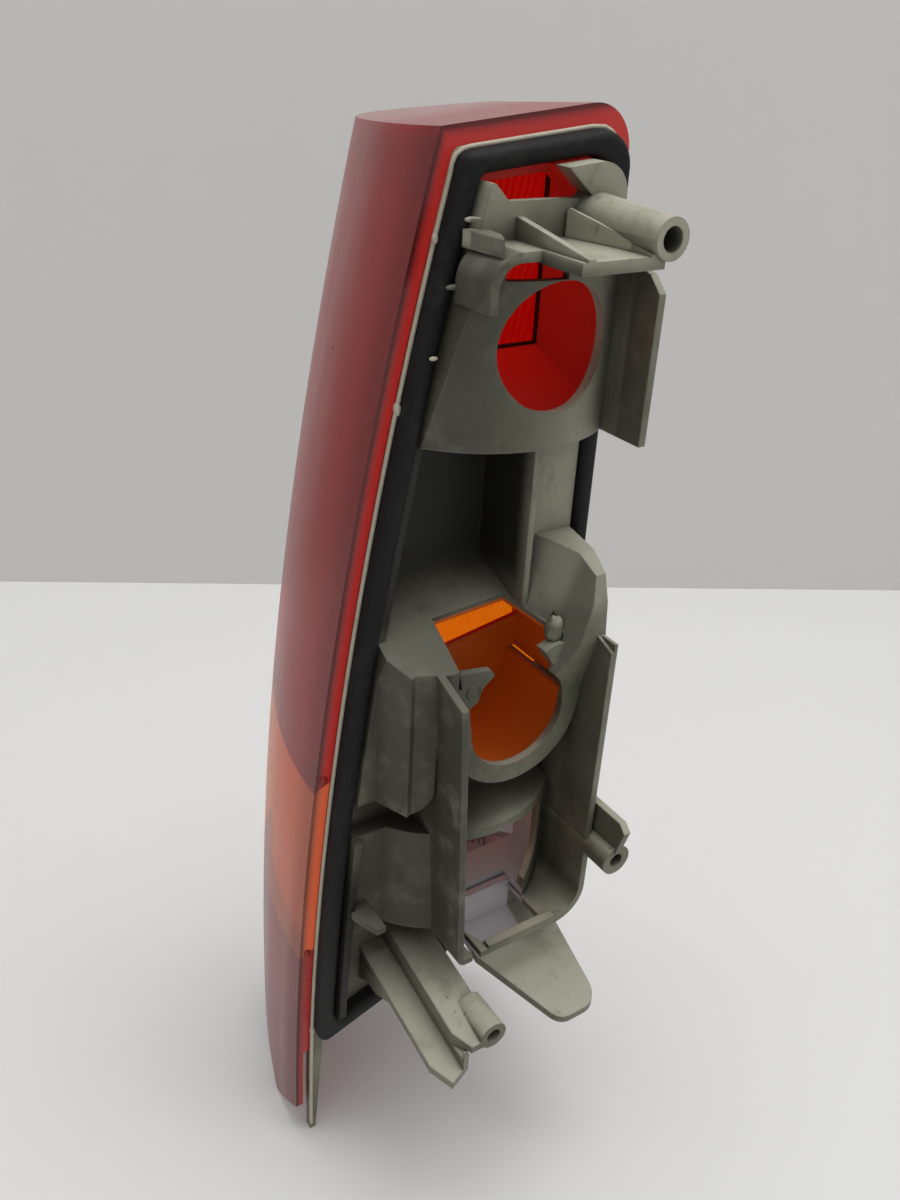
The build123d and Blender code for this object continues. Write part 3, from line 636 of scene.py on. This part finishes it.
def plainPlastic(name, colour, glow=(0, 0, 0)):
    f = Finish(bpy.data.materials.new(name))
    tone = f.mix(f.step(f.noise(16, 4.0), 0.35, 0.75) * 0.6, colour, shaded(colour, 0.6))
    sockets = {"Base Color": tone, "Roughness": 0.42, "Emission Color": glow, "Emission Strength": 1.0}
    return f.show(f.shader(sockets))


flash = flashPlastic()
tubePiece("weld_flash", [flashPath()], weld["radius"], 8, flash)
nubs = [(place(rimAt(z) - out, 1.2, z), r) for out, z, r in weld["nubs"]]
lumps("flash_nubs", nubs, flash, (1, 1, 1.6))
beads = [(place(rimAt(z) + out, 0.1, z), r) for out, z, r in weld["beads"]]
lumps("weld_beads", beads, plainPlastic("weld_bead", weld["beadColour"]), (1, 0.6, 1.4))
wallNub = [(place(*spot), size) for spot, size in weld["wallNub"]]
lumps("wall_nub", wallNub, flash, (1.7, 0.9, 0.8))
wallStubs = [(place(*spot), size) for spot, size in weld["wallStubs"]]
lumps("wall_stubs", wallStubs, finishes["housing"], (2.4, 0.9, 0.7))
print("weld flash and beads added")

# Small mouldings: gusset by the screw post, broken clip root and ring on the tab; and a dark tube of painted
# shade along the chamber's front edges
mouldings = {
    "gusset": ((-26.6, 10.0, 301.0), (-32.4, 36.6, 301.0), (-32.4, 36.6, 301.9), (-26.6, 10.0, 308.0)),
    "gussetThickness": 1.8,
    "clipRoot": ((-28.8, 18.6, 193.6), 2.6),
    "ring": ((-0.7, 20.6, 182.1), 2.3),
    "ringWire": 0.22,
    "edge": ((-40.4, -16.6, 314.0), (-40.4, -16.6, 266.9), (4.0, -16.6, 266.9)),
    "edgeRadius": 0.75,
    "edgeShadeColour": (0.012, 0.002, 0.002),
}


def slab(name, corners, thickness, finish):  # flat plate with softened edges
    spots = [place(*corner) for corner in corners]
    across = (spots[1] - spots[0]).cross(spots[-1] - spots[0]).normalized() * thickness / 2000
    form = bmesh.new()
    front = form.faces.new([form.verts.new(spot + across) for spot in spots])
    back = form.faces.new([form.verts.new(spot - across) for spot in reversed(spots)])
    count = len(spots)
    for i in range(count):
        a, b = front.verts[i], front.verts[(i + 1) % count]
        form.faces.new((b, a, back.verts[count - 1 - i], back.verts[(count - 2 - i) % count]))
    bmesh.ops.recalc_face_normals(form, faces=form.faces)
    bmesh.ops.bevel(form, geom=form.edges[:], offset=0.0003, segments=2, affect="EDGES", clamp_overlap=True)
    mesh = bpy.data.meshes.new(name)
    form.to_mesh(mesh)
    form.free()
    mesh.materials.append(finish)
    return addPiece(name, mesh)


slab("post_gusset", mouldings["gusset"], mouldings["gussetThickness"], finishes["housing"])
rootAt, rootSize = mouldings["clipRoot"]
lumps("clip_root", [(place(*rootAt), rootSize)], finishes["housing"], (1.1, 0.8, 1.7))
(ringX, ringY, ringZ), ringRadius = mouldings["ring"]
turns = [2 * pi * step / 24 for step in range(25)]
ring = [place(ringX + ringRadius * cos(a), ringY, ringZ + ringRadius * sin(a)) for a in turns]
tubePiece("tab_ring", [ring], mouldings["ringWire"], 6, finishes["housing"])
# painted shade: a dark tube laid along the chamber's front edges
darkEdge = plainPlastic("chamber_edge", mouldings["edgeShadeColour"])
edge = [place(*spot) for spot in mouldings["edge"]]
tubePiece("chamber_edge", [edge], mouldings["edgeRadius"], 8, darkEdge)

# Amber filter across the front of the middle chamber
amberFilter = {
    "front": -14.0,
    "thickness": 1.2,
    "middle": (-17.3, 168.0),
    "radius": 19.9,
    "left": (-40.4, 180.5),
    "right": (12.0, 171.8),
    # colour and glow are painted amber light, as on the chamber's inside; the brim's glow is painted light
    # too
    "colour": (0.5, 0.1, 0.006),
    "glow": (0.034, 0.0045, 0.0),
    "brim": 0.6,
    "brimColour": (0.3, 0.008, 0.004),
    "brimGlow": (0.06, 0.001, 0.0),
}


def filterCorners():
    look = amberFilter
    (cx, cz), r, y = look["middle"], look["radius"], look["front"]
    bowl = [(cx - r * cos(a * pi / 18), cz - r * sin(a * pi / 18)) for a in range(19)]
    outline = [look["left"], (look["left"][0], cz), *bowl, (look["right"][0], cz), look["right"]]
    return [(x, y, z) for x, z in outline]


filterLook = plainPlastic("amber_filter", amberFilter["colour"], amberFilter["glow"])
slab("amber_filter", filterCorners(), amberFilter["thickness"], filterLook)
brimAt = amberFilter["front"] + amberFilter["thickness"] / 2
brim = [place(x, brimAt, z) for x, z in (amberFilter["left"], amberFilter["right"])]
brimLook = plainPlastic("filter_brim", amberFilter["brimColour"], amberFilter["brimGlow"])
tubePiece("filter_brim", [brim], amberFilter["brim"], 8, brimLook)
print("small mouldings added")

# Camera
view = {
    "at": (0.1825, 0.1842, 0.0437),
    "right": (-0.838, 0.543, 0.048),
    "up": (-0.227, -0.428, 0.875),
    "lens": 32.25,
}
cameraData = bpy.data.cameras.new("camera")
cameraData.sensor_fit = "VERTICAL"
cameraData.sensor_height = 36.0
cameraData.lens = view["lens"]
cameraData.clip_start = 0.01
camera = bpy.data.objects.new("camera", cameraData)
right = Vector(view["right"]).normalized()
up = Vector(view["up"]).normalized()
back = right.cross(up).normalized()
up = back.cross(right)
camera.matrix_world = Matrix.Translation(view["at"]) @ Matrix((right, up, back)).transposed().to_4x4()
bpy.context.scene.collection.objects.link(camera)
bpy.context.scene.camera = camera

# Floor, wall behind and soft light from above
studio = {
    "floor": (0.74, 0.74, 0.73),
    "wall": (0.74, 0.735, 0.72),
    "wallFoot": ((0.076, -0.5011), (-0.4691, -0.1988)),
    "reach": 4.0,
    "low": 0.2,
    "high": 1.6,
    "side": 0.35,
    "overhead": 14.0,
    "overheadAt": (-0.2, -0.2, 1.2),
    "overheadSize": 1.0,
    "lookAt": (0.03, -0.05, -0.15),
}


def stageSheet(name, corners, colour, opensBehind=False):
    mesh = bpy.data.meshes.new(name)
    mesh.from_pydata(corners, [], [range(len(corners))])
    sheet = bpy.data.objects.new(name, mesh)
    bpy.context.scene.collection.objects.link(sheet)
    f = Finish(bpy.data.materials.new(name))
    surface = f.node("ShaderNodeBsdfDiffuse", {}, {"Color": colour})
    if opensBehind:  # a camera behind the wall looks through it
        behind = f.node("ShaderNodeNewGeometry", output="Backfacing")
        behind = behind * f.node("ShaderNodeLightPath", output="Is Camera Ray")
        surface = glassy(f, surface, (1.0, 1.0, 1.0), 1 - behind)
    mesh.materials.append(f.show(surface))
    return sheet


foot = lampCorner.z
reach = studio["reach"]
left, far = (Vector((*spot, foot)) for spot in studio["wallFoot"])
wallWay = (far - left).normalized()
floorCorners = [(x * reach, y * reach, foot) for x, y in ((-1, -1), (1, -1), (1, 1), (-1, 1))]
stageSheet("floor", floorCorners, studio["floor"])
wallEnds = (left - wallWay * reach, far + wallWay * reach)
tall = Vector((0, 0, reach))
wallCorners = [wallEnds[0], wallEnds[1], wallEnds[1] + tall, wallEnds[0] + tall]
stageSheet("backdrop", wallCorners, studio["wall"], opensBehind=True)

sky = Finish(bpy.data.worlds.new("studio"), "Generated")
wayX, wayY, wayZ = sky.parts(sky.spot)
towards = wayX * 0.7 + wayY * 0.7  # 1 on the camera's side of the room
overhead = sky.step(wayZ, 0.0, 0.8) * (studio["high"] - studio["low"])
level = studio["low"] + overhead * (1 - sky.step(towards, -0.3, 0.7) * 0.75)
level = level + sky.step(wayY * 0.3 - wayX * 0.8, 0.3, 0.9) * studio["side"]
light = sky.node("ShaderNodeBackground", {}, {"Color": (1.0, 1.0, 1.0), "Strength": level})
sky.node("ShaderNodeOutputWorld", {}, {"Surface": light})
sky.owner.cycles.sampling_method = "NONE"  # the sky is soft, so it needs no map of its own
bpy.context.scene.world = sky.owner
lampData = bpy.data.lights.new("overhead", "AREA")
lampData.size = studio["overheadSize"]
lampData.energy = studio["overhead"]
lamp = bpy.data.objects.new("overhead", lampData)
lamp.location = studio["overheadAt"]
aim = Vector(studio["lookAt"]) - lamp.location
lamp.rotation_euler = aim.to_track_quat("-Z", "Y").to_euler()
bpy.context.scene.collection.objects.link(lamp)
bpy.context.scene.view_settings.view_transform = "Standard"
print("studio ready")
